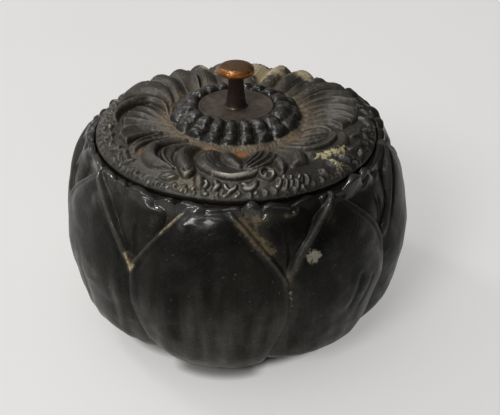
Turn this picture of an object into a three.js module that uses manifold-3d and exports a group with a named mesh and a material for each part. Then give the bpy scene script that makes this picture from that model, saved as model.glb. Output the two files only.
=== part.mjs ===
// A round trinket box: a carved petal vessel and a lift-off embossed lid with a small knob.
// Millimetres, +Z up. The origin is the middle of the foot, and the front faces -Y.

import * as THREE from 'three';
import { LoftGeometry } from 'three/addons/geometries/LoftGeometry.js';
import { mergeVertices } from 'three/addons/utils/BufferGeometryUtils.js';
import Module from 'manifold-3d';

const wasm = await Module();
wasm.setup();

// Vessel
const footRadius = 44;
const bodyRadius = 58.5;
const bellyHeight = 35;
const rimHeight = 62.7;
const lipRadius = 48.5;
const lipRise = 1.25;
const floorThickness = 6;
const mouthRadius = 41.5;
const neckLength = 7;
const wallThickness = 8;

// Petals round the vessel
const petalCount = 8;
const frontPetalSpan = 49.5;
const rightPetalSpan = 39;
const frontPetalTurn = -9.25;
const petalCrown = 2.6;
const petalStep = 0.7;
const petalProud = 3.4;
const petalTipShare = 0.27;
const petalTuck = 0.8;
const petalFootTurn = 10;
const petalFootHeight = 28;
const notchHeight = 42;
const innerPetalSpan = 14;
const innerPetalTipSpan = 5;
const innerPetalProud = 1.3;
const innerPetalRib = 0.8;

// Lid
const lidRadius = 45.5;
const lidEdge = 1.5;
const lidThickness = 2;
const shoulderRise = 5.7;
const shoulderWidth = 6;
const valleyRise = 5.6;
const crownRise = 8.3;
const collarHeight = 5;
const collarWall = 1.25;

// Bead ring round the middle of the lid
const beadCount = 19;
const beadTurn = -7;
const beadSwing = 6;
const ringInner = 12.6;
const ringOuter = 21.2;
const beadHeight = 5.6;

// Cast leaves of the lid. Each has a shape, which gives the heights across it as shares of its
// own height, that height as a share of reliefHeight, and its two edges of [angle, radius] points.
// Its height swells along it like half a wave, from leafStart to leafEnd of that wave.
const reliefHeight = 1.9;
const leafOverlap = 0.25;
const leafStart = 0.12;
const leafEnd = 0.8;
const round = [0.25, 1, 1, 0.25];
const hollow = [1, 0.35, 0.35, 1];
const firstRim = [1, 0.5, 0.35, 0.3];
const secondRim = [0.2, 0.6, 0.9, 1];
const leaves = [
  [
    firstRim, 1.2,
    [[-21, 26], [-21, 33], [-13, 38.4], [-1, 40], [16, 35.2]],
    [[-12, 25], [-7, 31.5], [0, 36], [8, 36.8], [16, 34.8]],
  ],
  [round, 0.9, [[-9, 26], [-6, 32], [2, 35]], [[0, 25.5], [3, 30], [4, 34]]],
  [hollow, 0.8, [[4, 34.2], [10, 29], [15, 25]], [[7, 36.2], [19, 32.4], [25, 27.5]]],
  [
    round, 1.1,
    [[-31, 25], [-33, 31], [-27, 37.3], [-20, 41]],
    [[-25, 25], [-24, 31], [-19, 36], [-18, 40.4]],
  ],
  [
    secondRim, 1.1,
    [[-43, 23], [-52.5, 30.5], [-48, 37.4], [-38, 40.9], [-28, 39.4]],
    [[-38, 24], [-46, 31], [-41, 36.2], [-34, 38.4], [-27, 39]],
  ],
  [round, 0.9, [[-36, 25], [-41, 31], [-29, 38.2]], [[-33, 25], [-36, 31], [-26, 38.2]]],
  [hollow, 0.8, [[-51, 23], [-60, 31], [-54, 39.2]], [[-47, 23], [-54, 31], [-50.5, 39]]],
  [hollow, 1.1, [[-59, 23], [-72.5, 32], [-67, 39]], [[-52, 23], [-61.5, 31], [-59, 38.8]]],
  [hollow, 1, [[-64, 23], [-80, 31.5], [-83, 36.5]], [[-59, 23], [-72.5, 32], [-73, 37]]],
  [hollow, 0.9, [[-73, 23], [-89, 30.5], [-92, 35.4]], [[-64, 23], [-80, 31.5], [-83, 36.5]]],
  [hollow, 0.9, [[-82, 23], [-98, 29.5], [-100, 33.6]], [[-73, 23], [-89, 30.5], [-92, 35.4]]],
  [
    round, 1.3,
    [[-98, 23], [-115, 28], [-110, 35.5], [-98, 39], [-83, 39.4]],
    [[-90, 23], [-106, 28], [-102, 34], [-93, 36.6], [-81, 38]],
  ],
  [
    round, 1.2,
    [[-113, 23], [-130, 31], [-129, 38], [-119, 42]],
    [[-99, 23], [-117, 28.5], [-115, 35], [-103, 40.4]],
  ],
  [round, 1.3, [[-131, 23], [-142, 34], [-142, 40.6]], [[-116, 23], [-131, 32], [-128, 40]]],
  [hollow, 1.3, [[-147, 23], [-154, 34], [-154, 40.6]], [[-133, 23], [-144, 34], [-144, 40.6]]],
  [round, 1.3, [[-165, 23], [-166, 34], [-165, 40.6]], [[-148, 23], [-156, 34], [-155, 40.6]]],
  [round, 1.3, [[-180, 23], [-180, 34], [-180, 40.6]], [[-167, 23], [-168, 34], [-167, 40.6]]],
  [round, 1.3, [[178, 23], [178, 34], [178, 40.6]], [[164, 23], [162, 34], [161, 40.6]]],
  [round, 1.3, [[162, 23], [161, 34], [160, 40.6]], [[150, 23], [150, 34], [149, 40.6]]],
  [round, 1.3, [[149, 23], [149, 34], [148, 40.6]], [[137, 23], [137, 34], [136, 40.6]]],
  [round, 1.1, [[136, 23], [136, 34], [135, 40.6]], [[127, 23], [128, 34], [128, 41]]],
  [round, 1.3, [[126, 23], [127, 34], [126, 41]], [[115, 23], [117, 34], [112, 41]]],
  [hollow, 1.2, [[114, 23], [116, 34], [111, 41]], [[105, 23], [107, 34], [100, 40.4]]],
  [hollow, 1.1, [[105, 23], [107, 34], [100, 40.4]], [[98, 23], [98, 33], [92, 39.2]]],
  [hollow, 1.1, [[98, 23], [98, 33], [92, 39.2]], [[89, 23], [90, 33], [84, 38.4]]],
  [hollow, 1.1, [[89, 23], [90, 33], [84, 38.4]], [[80, 23], [86, 31], [80, 37]]],
  [hollow, 1, [[80, 23], [86, 31], [80, 37]], [[71, 23], [78.5, 30.5], [73.5, 34.8]]],
  [hollow, 0.8, [[71, 23], [78.5, 30.5], [74, 34]], [[65, 23.5], [70.5, 29], [68.5, 32]]],
  [
    firstRim, 1,
    [[34, 24], [38, 30.5], [50, 34.4], [67, 32.4]],
    [[41, 25], [47, 30.4], [57, 32.4], [67, 31]],
  ],
  [hollow, 0.7, [[42, 25], [49, 30], [62, 32]], [[59, 24], [65, 27.5], [67, 31]]],
  [
    round, 0.75,
    [[30, 27], [36, 36], [50, 39.6], [69, 36]],
    [[34, 27.5], [42, 34.2], [54, 36.2], [69, 34.2]],
  ],
  [round, 1.2, [[25.5, 26], [27, 34], [24.5, 37.6]], [[29.5, 26], [36, 34], [33, 38.6]]],
];

// Knob and its fastening
const plateRadius = 12.25;
const plateThickness = 1;
const plateLip = 0.4;
const knobRadius = 5.9;
const knobHeight = 15;
const knobCap = 4.2;
const knobNeck = 2.2;
const knobFoot = 4.3;
const shankRadius = 2;
const washerRadius = 5;
const washerThickness = 0.8;
const nutAcross = 7;
const nutThickness = 3;
const shankPastNut = 1.5;

// Clearances
const rimGap = 0.75;
const collarGap = 0.5;
const shankGap = 0.3;

// Facets round a full turn, and how deep a raised form starts under the surface
const bodySegments = 56;
const lidSegments = 48;
const smallSegments = 24;
const buried = 0.5;

// Heights and radii that follow from the sizes above
const lipHeight = rimHeight + lipRise;
const valleyHeight = rimHeight + valleyRise;
const crownHeight = rimHeight + crownRise;
const plateTop = crownHeight + plateThickness;
const underCrown = crownHeight - lidThickness;
const washerBottom = underCrown - washerThickness;
const nutBottom = washerBottom - nutThickness;
const boreRadius = shankRadius + shankGap;
const collarOuter = mouthRadius - collarGap;
const collarInner = collarOuter - collarWall;

const mix = THREE.MathUtils.lerp;

// A point at an angle in degrees from the front, counted towards +X.
function polar(angle, radius, height) {
  const turn = THREE.MathUtils.degToRad(angle);
  return new THREE.Vector3(radius * Math.sin(turn), -radius * Math.cos(turn), height);
}

// Solids and their joins and cuts
function solidOf(geometry) {
  const bare = new THREE.BufferGeometry();
  bare.setAttribute('position', geometry.getAttribute('position'));
  bare.setIndex(geometry.getIndex());
  const merged = mergeVertices(bare, 1e-4);
  return new wasm.Manifold(new wasm.Mesh({
    numProp: 3,
    vertProperties: Float32Array.from(merged.attributes.position.array),
    triVerts: Uint32Array.from(merged.index.array),
  }));
}

function geometryOf(solid) {
  const mesh = solid.getMesh();
  const geometry = new THREE.BufferGeometry();
  geometry.setAttribute('position', new THREE.BufferAttribute(mesh.vertProperties, 3));
  geometry.setIndex(new THREE.BufferAttribute(mesh.triVerts, 1));
  geometry.computeVertexNormals();
  return geometry;
}

function joined(geometries) {
  return geometries.map(solidOf).reduce((sum, solid) => sum.add(solid));
}

// A turned form from a list of [radius, height] points, up the outside and down the inside.
function turned(outline, segments) {
  const points = outline.map(([radius, height]) => new THREE.Vector2(radius, height));
  return new THREE.LatheGeometry(points, segments).rotateX(Math.PI / 2);
}

function smooth(outline, steps) {
  const curve = new THREE.SplineCurve(outline.map(([x, y]) => new THREE.Vector2(x, y)));
  return curve.getPoints(steps).map((point) => [point.x, point.y]);
}

// Outer line of a petal from the foot over the belly to the lip
function petalLine() {
  return smooth([
    [footRadius, 0],
    [mix(footRadius, bodyRadius, 0.42), 0.14 * bellyHeight],
    [mix(footRadius, bodyRadius, 0.76), 0.36 * bellyHeight],
    [mix(footRadius, bodyRadius, 0.93), 0.7 * bellyHeight],
    [bodyRadius, bellyHeight],
    [mix(bodyRadius, lipRadius, 0.28), mix(bellyHeight, lipHeight, 0.54)],
    [mix(bodyRadius, lipRadius, 0.65), mix(bellyHeight, lipHeight, 0.84)],
    [lipRadius, lipHeight],
  ], 14);
}

// Line of the recessed wall behind the petals, which runs out at the lip
function wallLine() {
  const last = petalLine().length - 1;
  return petalLine().map(([radius, height], index) => {
    const fade = index === last ? 0.4 : 1;
    return [radius - fade * petalProud, height];
  });
}

// Half span of a petal at a height, on a side that laps over its neighbour or tucks under it
function petalHalf(span, height, laps) {
  const rise = Math.max(0, (height - notchHeight) / (lipHeight - notchHeight));
  const share = 1 - (1 - petalTipShare) * rise ** 1.2;
  const foot = petalFootTurn * Math.max(0, 1 - height / petalFootHeight) ** 1.3;
  return share * span / 2 + (laps ? -foot : foot + petalTuck);
}

// One petal section: a crowned outer arc and two points inside the wall.
// halves and drops are pairs, for the side with the lower angles and the other one.
function petalSection(middle, halves, radius, height, drops, rib) {
  const steps = rib ? 6 : 8;
  const points = [];
  for (let step = 0; step <= steps; step++) {
    const side = 2 * step / steps - 1;
    const which = side < 0 ? 0 : 1;
    const crown = drops[which] * Math.abs(side) ** 3;
    const ridge = rib * Math.max(0, 1 - 3 * Math.abs(side));
    points.push(polar(middle + side * halves[which], radius - crown + ridge, height));
  }
  points.push(polar(middle + halves[1], radius - 2 * petalProud, height));
  points.push(polar(middle - halves[0], radius - 2 * petalProud, height));
  return points;
}

// The front petal laps over both neighbours, and each petal over the next one behind it.
function outerPetal(index, middle, span) {
  const laps = [
    index === 0 || index > petalCount / 2,
    index < petalCount / 2,
  ];
  const drops = laps.map((over) => (over ? petalCrown - petalStep : petalCrown));
  const sections = petalLine().map(([radius, height]) => {
    const halves = laps.map((over) => petalHalf(span, height, over));
    return petalSection(middle, halves, radius, height, drops, 0);
  });
  return new LoftGeometry(sections, { capStart: true, capEnd: true });
}

// A narrow petal that fills the notch between two outer petals
function innerPetal(middle) {
  const stations = wallLine().filter(([, height]) => height > notchHeight - 3);
  const sections = stations.map(([radius, height]) => {
    const rise = Math.max(0, (height - notchHeight) / (lipHeight - notchHeight));
    const swell = Math.sin(Math.PI * Math.min(rise, 0.75) / 1.5);
    const half = mix(innerPetalTipSpan, innerPetalSpan, rise > 0.95 ? 0.3 : swell) / 2;
    const drops = [innerPetalProud, innerPetalProud];
    return petalSection(middle, [half, half], radius + innerPetalProud, height, drops, innerPetalRib);
  });
  return new LoftGeometry(sections, { capStart: true, capEnd: true });
}

function vesselBody() {
  const forms = [turned([[0, 0], ...wallLine(), [0, lipHeight]], bodySegments)];
  const otherSpan = (360 - frontPetalSpan - rightPetalSpan) / (petalCount - 2);
  let edge = frontPetalTurn - frontPetalSpan / 2;
  for (let index = 0; index < petalCount; index++) {
    const span = [frontPetalSpan, rightPetalSpan][index] ?? otherSpan;
    forms.push(outerPetal(index, edge + span / 2, span), innerPetal(edge));
    edge += span;
  }
  const cavityRadius = bodyRadius - petalProud - wallThickness;
  const floorRadius = footRadius - petalProud - wallThickness / 2;
  const cavity = turned([
    [0, floorThickness],
    [floorRadius, floorThickness],
    ...smooth([
      [mix(floorRadius, cavityRadius, 0.7), floorThickness + 6],
      [cavityRadius, bellyHeight],
      [mouthRadius, rimHeight - neckLength],
    ], 8),
    [mouthRadius, lipHeight + 1],
    [0, lipHeight + 1],
  ], bodySegments);
  const seat = turned([
    [0, rimHeight],
    [lidRadius + rimGap, rimHeight],
    [lidRadius + rimGap, lipHeight + 1],
    [0, lipHeight + 1],
  ], bodySegments);
  return geometryOf(joined(forms).subtract(solidOf(cavity)).subtract(solidOf(seat)));
}

// Upper line of the lid outside the bead ring, out to its rounded edge
function lidLine() {
  const top = rimHeight + shoulderRise;
  return smooth([
    [ringOuter, valleyHeight],
    [ringOuter + 0.3 * (lidRadius - ringOuter), mix(valleyHeight, top, 0.7)],
    [lidRadius - shoulderWidth - 4, top + 0.3],
    [lidRadius - shoulderWidth, top],
    [lidRadius - shoulderWidth / 2, top - 1.3],
    [lidRadius - 0.2 * shoulderWidth, mix(rimHeight + lidEdge, top, 0.48)],
    [lidRadius, rimHeight + lidEdge],
  ], 8);
}

function lidShell() {
  const shoulder = rimHeight + shoulderRise - lidThickness;
  return turned([
    [boreRadius, underCrown],
    [ringInner, underCrown],
    [ringOuter, valleyHeight - lidThickness],
    [collarInner - 3, shoulder],
    [collarInner, shoulder - 2],
    [collarInner, rimHeight],
    [lidRadius, rimHeight],
    ...lidLine().reverse(),
    [ringInner, crownHeight],
    [boreRadius, crownHeight],
    [boreRadius, underCrown],
  ], lidSegments);
}

// One bead: a loaf-shaped radial lobe with a steep outer end
function bead(angle, spread) {
  const width = spread * Math.PI * (ringInner + ringOuter) / 2 / beadCount;
  const stations = [
    [0, 0.65, 0.45],
    [0.15, 0.95, 0.93],
    [0.5, 1.12, 0.96],
    [0.78, 1.18, 0.42],
    [0.97, 1, 0.45],
  ];
  const sections = stations.map(([along, broad, tall]) => {
    const radius = mix(ringInner, ringOuter, along);
    const base = mix(crownHeight, valleyHeight, along) - buried;
    const top = valleyHeight + mix(beadHeight / 2, beadHeight, tall);
    const crest = along > 0.9 ? mix(base, top, tall) : top;
    return archSection(polar(angle, radius, 0), angle + 90, broad * width, base, crest);
  });
  return new LoftGeometry(sections, { capStart: true, capEnd: true });
}

// A round-topped section through a spot, across the way that aside points
function archSection(spot, aside, half, base, top) {
  const steps = 4;
  const points = [];
  for (let step = 0; step <= steps; step++) {
    const turn = Math.PI * step / steps;
    const across = polar(aside, half * Math.cos(turn), mix(base, top, Math.sin(turn)));
    points.push(across.add(spot));
  }
  return points;
}

// Height of the lid's plain upper surface at a radius outside the bead ring
function lidTop(radius) {
  const line = lidLine();
  const next = Math.max(1, line.findIndex(([reach]) => reach >= radius));
  const [before, after] = [line[next - 1], line[next]];
  return mix(before[1], after[1], (radius - before[0]) / (after[0] - before[0]));
}

// A raised leaf between its two edges, low at the end near the ring
function leaf([shape, tall, ...edges]) {
  const lines = edges.map((line) => {
    return new THREE.CatmullRomCurve3(line.map(([angle, radius]) => polar(angle, radius, 0)));
  });
  const [from, to] = lines.map((line) => line.getPointAt(0.5));
  const secondOnRight = to.sub(from).cross(lines[0].getTangentAt(0.5)).z > 0;
  const steps = 4;
  const sections = [];
  for (let step = 0; step <= steps; step++) {
    const along = step / steps;
    const [first, second] = lines.map((line) => line.getPointAt(along));
    const lap = second.clone().sub(first).setLength(leafOverlap);
    first.sub(lap);
    second.add(lap);
    const swell = Math.sin(Math.PI * mix(leafStart, leafEnd, along));
    const height = tall * reliefHeight * swell;
    const top = shape.map((share, index) => {
      const point = first.clone().lerp(second, index / (shape.length - 1));
      return point.setZ(lidTop(Math.hypot(point.x, point.y)) + share * height);
    });
    const base = Math.min(...[first, second].map(({ x, y }) => lidTop(Math.hypot(x, y)))) - buried;
    const outline = [...top, second.clone().setZ(base), first.clone().setZ(base)];
    sections.push(secondOnRight ? outline : outline.reverse());
  }
  return new LoftGeometry(sections, { capStart: true, capEnd: true });
}

function lid() {
  const forms = [lidShell(), ...leaves.map(leaf)];
  for (let index = 0; index < beadCount; index++) {
    const turn = THREE.MathUtils.degToRad(beadTurn + 360 * index / beadCount);
    const angle = THREE.MathUtils.radToDeg(turn) - beadSwing * Math.sin(2 * turn);
    const spread = 1 - 2 * THREE.MathUtils.degToRad(beadSwing) * Math.cos(2 * turn);
    forms.push(bead(angle, spread));
  }
  return geometryOf(joined(forms));
}

// Ring under the lid that drops into the mouth and keeps the lid central
function lidCollar() {
  return turned([
    [collarInner, rimHeight - collarHeight],
    [collarOuter, rimHeight - collarHeight],
    [collarOuter, rimHeight],
    [collarInner, rimHeight],
    [collarInner, rimHeight - collarHeight],
  ], lidSegments);
}

function knobPlate() {
  return turned([
    [boreRadius, crownHeight],
    [plateRadius, crownHeight],
    [plateRadius, plateTop + plateLip],
    [plateRadius - 1, plateTop + plateLip],
    [plateRadius - 3, plateTop],
    [boreRadius, plateTop],
    [boreRadius, crownHeight],
  ], lidSegments);
}

// Mushroom knob in one piece with its flared stem and the shank that passes through the lid
function knob() {
  const top = plateTop + knobHeight;
  const underCap = top - knobCap;
  return turned([
    [0, nutBottom - shankPastNut],
    [shankRadius, nutBottom - shankPastNut],
    [shankRadius, plateTop],
    ...smooth([
      [knobFoot, plateTop],
      [mix(knobFoot, knobNeck, 0.7), mix(plateTop, underCap, 0.25)],
      [knobNeck, mix(plateTop, underCap, 0.55)],
      [knobNeck + 0.3, mix(plateTop, underCap, 0.85)],
      [0.8 * knobRadius, underCap + 0.15 * knobCap],
      [knobRadius, underCap + 0.45 * knobCap],
      [0.85 * knobRadius, underCap + 0.85 * knobCap],
    ], 12),
    [0.45 * knobRadius, top - 0.1],
    [0, top],
  ], smallSegments);
}

function washer() {
  return turned([
    [boreRadius, washerBottom],
    [washerRadius, washerBottom],
    [washerRadius, underCrown],
    [boreRadius, underCrown],
    [boreRadius, washerBottom],
  ], smallSegments);
}

function nut() {
  const corners = [];
  for (let index = 0; index < 6; index++) {
    const turn = Math.PI * index / 3;
    const reach = nutAcross / Math.sqrt(3);
    corners.push(new THREE.Vector2(reach * Math.cos(turn), reach * Math.sin(turn)));
  }
  const outline = new THREE.Shape(corners);
  outline.holes.push(new THREE.Path().absarc(0, 0, boreRadius, 0, 2 * Math.PI, true));
  const body = new THREE.ExtrudeGeometry(outline, {
    depth: nutThickness,
    bevelEnabled: false,
    curveSegments: smallSegments / 2,
  });
  return body.translate(0, 0, nutBottom);
}

// Materials
function finish(color, roughness, metalness) {
  return new THREE.MeshStandardMaterial({ color, roughness, metalness });
}

const ebonised = finish('#1c1a1a', 0.38, 0);
const darkLid = finish('#3d3a38', 0.5, 0.6);
const darkPlate = finish('#2b221d', 0.45, 0.6);
const copper = finish('#8a4f36', 0.35, 0.9);
const plainMetal = finish('#6f6a5f', 0.45, 0.9);

const group = new THREE.Group();

function place(name, geometry, material) {
  const mesh = new THREE.Mesh(geometry, material);
  mesh.name = name;
  group.add(mesh);
}

place('vessel_body', vesselBody(), ebonised);
place('lid', lid(), darkLid);
place('lid_collar', lidCollar(), darkLid);
place('knob_plate', knobPlate(), darkPlate);
place('knob', knob(), copper);
place('knob_washer', washer(), plainMetal);
place('knob_nut', nut(), plainMetal);

export default group;
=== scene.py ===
"""Looks of the trinket box: a carved petal vessel, an embossed lid and a small copper knob."""

import math
from collections import namedtuple

import bpy
import numpy as np
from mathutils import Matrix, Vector


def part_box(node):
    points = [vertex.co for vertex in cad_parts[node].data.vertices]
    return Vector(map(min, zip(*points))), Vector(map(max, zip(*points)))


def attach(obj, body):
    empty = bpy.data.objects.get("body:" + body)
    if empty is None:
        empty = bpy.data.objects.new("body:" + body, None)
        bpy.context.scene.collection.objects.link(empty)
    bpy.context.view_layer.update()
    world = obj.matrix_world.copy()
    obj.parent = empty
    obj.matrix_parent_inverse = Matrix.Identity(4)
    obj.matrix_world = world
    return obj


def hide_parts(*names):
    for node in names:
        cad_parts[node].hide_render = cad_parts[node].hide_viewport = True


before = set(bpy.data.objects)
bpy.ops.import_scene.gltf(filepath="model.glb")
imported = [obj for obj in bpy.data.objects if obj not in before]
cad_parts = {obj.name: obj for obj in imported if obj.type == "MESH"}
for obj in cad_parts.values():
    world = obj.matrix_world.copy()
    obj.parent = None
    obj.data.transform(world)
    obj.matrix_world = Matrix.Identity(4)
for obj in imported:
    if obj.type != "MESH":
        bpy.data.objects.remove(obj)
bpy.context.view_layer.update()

MM = 0.001

# Vessel, in millimetres and degrees. REACH is how far out its carving may stand.
FOOT_R = 44.0
BODY_R = 58.3
BELLY_Z = 35.0
RIM_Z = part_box("lid")[0].z / MM
LIP_R = 48.5
LIP_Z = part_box("vessel_body")[1].z / MM
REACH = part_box("vessel_body")[1].x / MM - 0.05
FLOOR_Z = 6.0
FLOOR_R = 35.0
WALL = 11.2
MOUTH_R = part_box("lid_collar")[1].x / MM + 0.5
SEAT_R = 45.8
LIP_BUMPS = 36
LIP_WEAR = 0.9
LIP_KNOB = 1.3
LIP_HOLLOW = 1.2
FLARE = 2.4
FLARE_TURN = 112.0
DENT_DEPTH = 0.4
VESSEL_COLS = 1080

# Petals. The front one comes first and the others follow towards the right. Each has the share of
# its width that it loses towards its tip and the power of that curve, how far its foot leans and
# draws in, its rim's half width, the strength of the rim on its right and of its flutes.
Petal = namedtuple("Petal", "narrowing power lean tuck rim far_rim flutes")
PETALS = [
    Petal(0.7, 1.3, 2.5, 0.0, 0.7, 1.0, 1.0),
    Petal(0.93, 1.8, 0.0, 4.2, 1.2, 0.35, 0.45),
    Petal(0.9, 1.5, 0.0, 2.6, 1.2, 1.0, 0.45),
    Petal(0.85, 1.4, 0.0, 2.6, 1.2, 1.0, 1.0),
    Petal(0.95, 1.6, 0.0, 2.6, 1.2, 1.0, 1.0),
    Petal(0.9, 1.5, 0.0, 2.6, 1.2, 1.0, 1.0),
    Petal(1.0, 1.7, 0.0, 2.6, 1.2, 1.0, 1.0),
    Petal(1.0, 1.6, 0.0, 2.6, 1.2, 1.0, 1.0),
]
FRONT_SPAN = 49.5
RIGHT_SPAN = 39.0
FRONT_TURN = -9.25
NOTCH_Z = 42.0
PETAL_CROWN = 2.6
PETAL_STEP = 0.8
PETAL_PROUD = 3.4
FOOT_TURN = 10.0
FOOT_TURN_Z = 28.0
TUCK_Z = 11.0
LEAN_Z = 14.0
FLUTE_STEP = 7.0
FLUTE_DEPTH = 0.32
RIM_HEIGHT = 0.5
RIM_GROOVE = 0.25
EDGE_SLOPE = 3.2
SMALL_HALF = 8.6
SMALL_SWELL = 1.1
RIB_HEIGHT = 0.45

# Lid, in millimetres and degrees. BEAD_SWING is how far the beads stray from even spacing. A step in
# the relief starts to show as a fine pale line, worn and painted as a highlight, or as a cut painted dark
# as shade, at the first height of FINE_STEP.
LID_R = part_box("lid")[1].x / MM
LID_WALL = 2.0
CROWN_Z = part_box("knob_plate")[0].z / MM
BORE_R = 2.3
COLLAR_IN = MOUTH_R - 1.75
LID_COLS = 1200
RELIEF = 1.2
PLAN_STEP = 0.5
RIBBON_STEP = 0.06
END_ROUND = 0.8
VEIN_STEP = 1.1
VEIN_DEPTH = 0.035
BEADS = 19
BEAD_TURN = -7.0
BEAD_SWING = 6.0
BEAD_DEPTH = 2.4
WAIST_DEPTH = 0.75
RING_IN = 12.6
RING_OUT = 21.2
ROOF_Z = 66.3
FINE_STEP = (0.012, 0.09)

# Knob, in millimetres
PLATE_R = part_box("knob_plate")[1].x / MM
PLATE_TOP = CROWN_Z + 1.0
KNOB_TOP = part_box("knob")[1].z / MM
KNOB_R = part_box("knob")[1].x / MM
SHANK_R = 2.0

# Camera: the photograph's frame and where the middle of the box lies in it
FRAME_W = 500
FRAME_H = 415
LOOK_X = 236
LOOK_Y = 211
FOCAL_PX = 771
SENSOR = 36.0
LOOK_Z = 31.5
DISTANCE = 270.0
ELEVATION = 33.0


def smoothstep(low, high, x):
    t = np.clip((x - low) / (high - low), 0, 1)
    return t * t * (3 - 2 * t)


def wrapped(angle):
    """An angle in degrees brought between -180 and 180."""
    return (angle + 180) % 360 - 180


def waves(theta, height, seed, count=14, low=1, high=9, rise=0.12):
    """A smooth uneven field from a few sine waves, about -1 to 1, that closes round the turn."""
    rng = np.random.default_rng(seed)
    total = np.zeros(np.broadcast(theta, height).shape)
    for _ in range(count):
        turns = rng.integers(low, high)
        slope = rng.normal(0, rise)
        phase = rng.uniform(0, 2 * math.pi)
        total += np.sin(np.radians(theta) * turns + height * slope + phase)
    return total / math.sqrt(count)


def spline(points, step):
    """A smooth line through the points, with a point about every step millimetres."""
    p = np.array(points, float)
    ends = np.vstack([2 * p[0] - p[1], p, 2 * p[-1] - p[-2]])
    out = []
    for i in range(len(p) - 1):
        a, b, c, d = ends[i : i + 4]
        n = max(2, int(np.linalg.norm(c - b) / step))
        t = np.linspace(0, 1, n, endpoint=False)[:, None]
        out.append(
            0.5
            * (2 * b + (c - a) * t + (2 * a - 5 * b + 4 * c - d) * t**2 + (3 * b - a - 3 * c + d) * t**3)
        )
    return np.vstack([*out, p[-1:]])


def normals_of(line):
    """The outward side of a profile that runs up the outside of a turned form."""
    along = np.gradient(line, axis=0)
    along /= np.linalg.norm(along, axis=1)[:, None] + 1e-9
    return np.column_stack([along[:, 1], -along[:, 0]])


def bump(x, middle, width):
    """A smooth bump, 1 in the middle and about a third at its width."""
    return np.exp(-(((x - middle) / width) ** 2))


def plateau(theta, middle, width):
    """A flat-topped bump round the turn, in degrees."""
    return np.exp(-((wrapped(theta - middle) / width) ** 4))


def turned_mesh(name, line, push, theta, closed, lift=0):
    """A turned surface whose points are pushed out along the line's normals.

    line is the profile in (radius, height), push the distance at every (line point, angle) and
    lift a distance upwards. closed joins the last profile point to the first; otherwise both
    ends lie on the axis.
    """
    side = normals_of(line)
    radius = line[:, :1] + push * side[:, :1]
    height = line[:, 1:] + push * side[:, 1:] + lift
    turn = np.radians(theta)[None, :]
    points = np.stack([radius * np.sin(turn), -radius * np.cos(turn), height + 0 * turn], axis=-1)
    rows, cols = push.shape
    if not closed:
        points = points[1:-1]
        rows -= 2
    verts = points.reshape(-1, 3)
    i = np.arange(rows if closed else rows - 1)[:, None]
    j = np.arange(cols)[None, :]
    i2 = (i + 1) % rows
    j2 = (j + 1) % cols
    quads = np.stack([i * cols + j, i * cols + j2, i2 * cols + j2, i2 * cols + j], axis=-1).reshape(-1, 4)
    faces = quads.tolist()
    if not closed:
        low = len(verts)
        verts = np.vstack([verts, [[0, 0, line[0, 1]], [0, 0, line[-1, 1]]]])
        last = (rows - 1) * cols
        ring = np.arange(cols)
        faces += [[low, int((k + 1) % cols), int(k)] for k in ring]
        faces += [[low + 1, int(last + k), int(last + (k + 1) % cols)] for k in ring]
    mesh = bpy.data.meshes.new(name)
    mesh.from_pydata((verts * MM).tolist(), [], faces)
    mesh.shade_smooth()
    piece = bpy.data.objects.new(name, mesh)
    bpy.context.scene.collection.objects.link(piece)
    return piece


def paint(piece, name, field, closed):
    """Stores a number at every point of a turned surface, for the material to read."""
    rows = field if closed else field[1:-1]
    values = rows.reshape(-1)
    if not closed:
        values = np.append(values, [field[0].mean(), field[-1].mean()])
    attribute = piece.data.attributes.new(name, "FLOAT", "POINT")
    attribute.data.foreach_set("value", values.astype(np.float32))


# Vessel


def petal_line():
    """The crown line of a petal, from the foot over the belly to the lip."""

    def mix(a, b, t):
        return a + (b - a) * t

    return [
        (FOOT_R, 0.0),
        (mix(FOOT_R, BODY_R, 0.42), 0.14 * BELLY_Z),
        (mix(FOOT_R, BODY_R, 0.76), 0.36 * BELLY_Z),
        (mix(FOOT_R, BODY_R, 0.93), 0.7 * BELLY_Z),
        (BODY_R, BELLY_Z),
        (mix(BODY_R, LIP_R, 0.28), mix(BELLY_Z, LIP_Z, 0.54)),
        (mix(BODY_R, LIP_R, 0.65), mix(BELLY_Z, LIP_Z, 0.84)),
        (LIP_R, LIP_Z - 0.5),
    ]


def petal_spans():
    """Start angle and span of each petal."""
    other = (360 - FRONT_SPAN - RIGHT_SPAN) / (len(PETALS) - 2)
    spans = [FRONT_SPAN, RIGHT_SPAN] + [other] * (len(PETALS) - 2)
    starts = FRONT_TURN - FRONT_SPAN / 2 + np.cumsum([0] + spans[:-1])
    return list(zip(starts, spans))


def petal_flutes(theta, height, number, aside, edge):
    """The soft upright hollows of a petal's face. edge is 0 at its edge and 1 in the middle."""
    where = smoothstep(1, 9, height) * (1 - smoothstep(30, 42, height)) * smoothstep(0.0, 0.3, edge)
    sway = 0.25 * np.sin(height * 0.12 + number) + 0.2 * np.sin(aside * 0.33 + 2 * number)
    wave = np.cos(2 * math.pi * ((aside - 1 - 0.3 * number) / FLUTE_STEP + sway * 0.6))
    uneven = waves(theta, height, 60 + number, low=6, high=26, rise=0.05)
    strength = np.clip(0.62 + 0.5 * uneven, 0.1, 1.2) * PETALS[number].flutes
    crests = (0.5 + 0.5 * wave) * where * strength
    return crests, crests - 0.5 * where * strength


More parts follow.
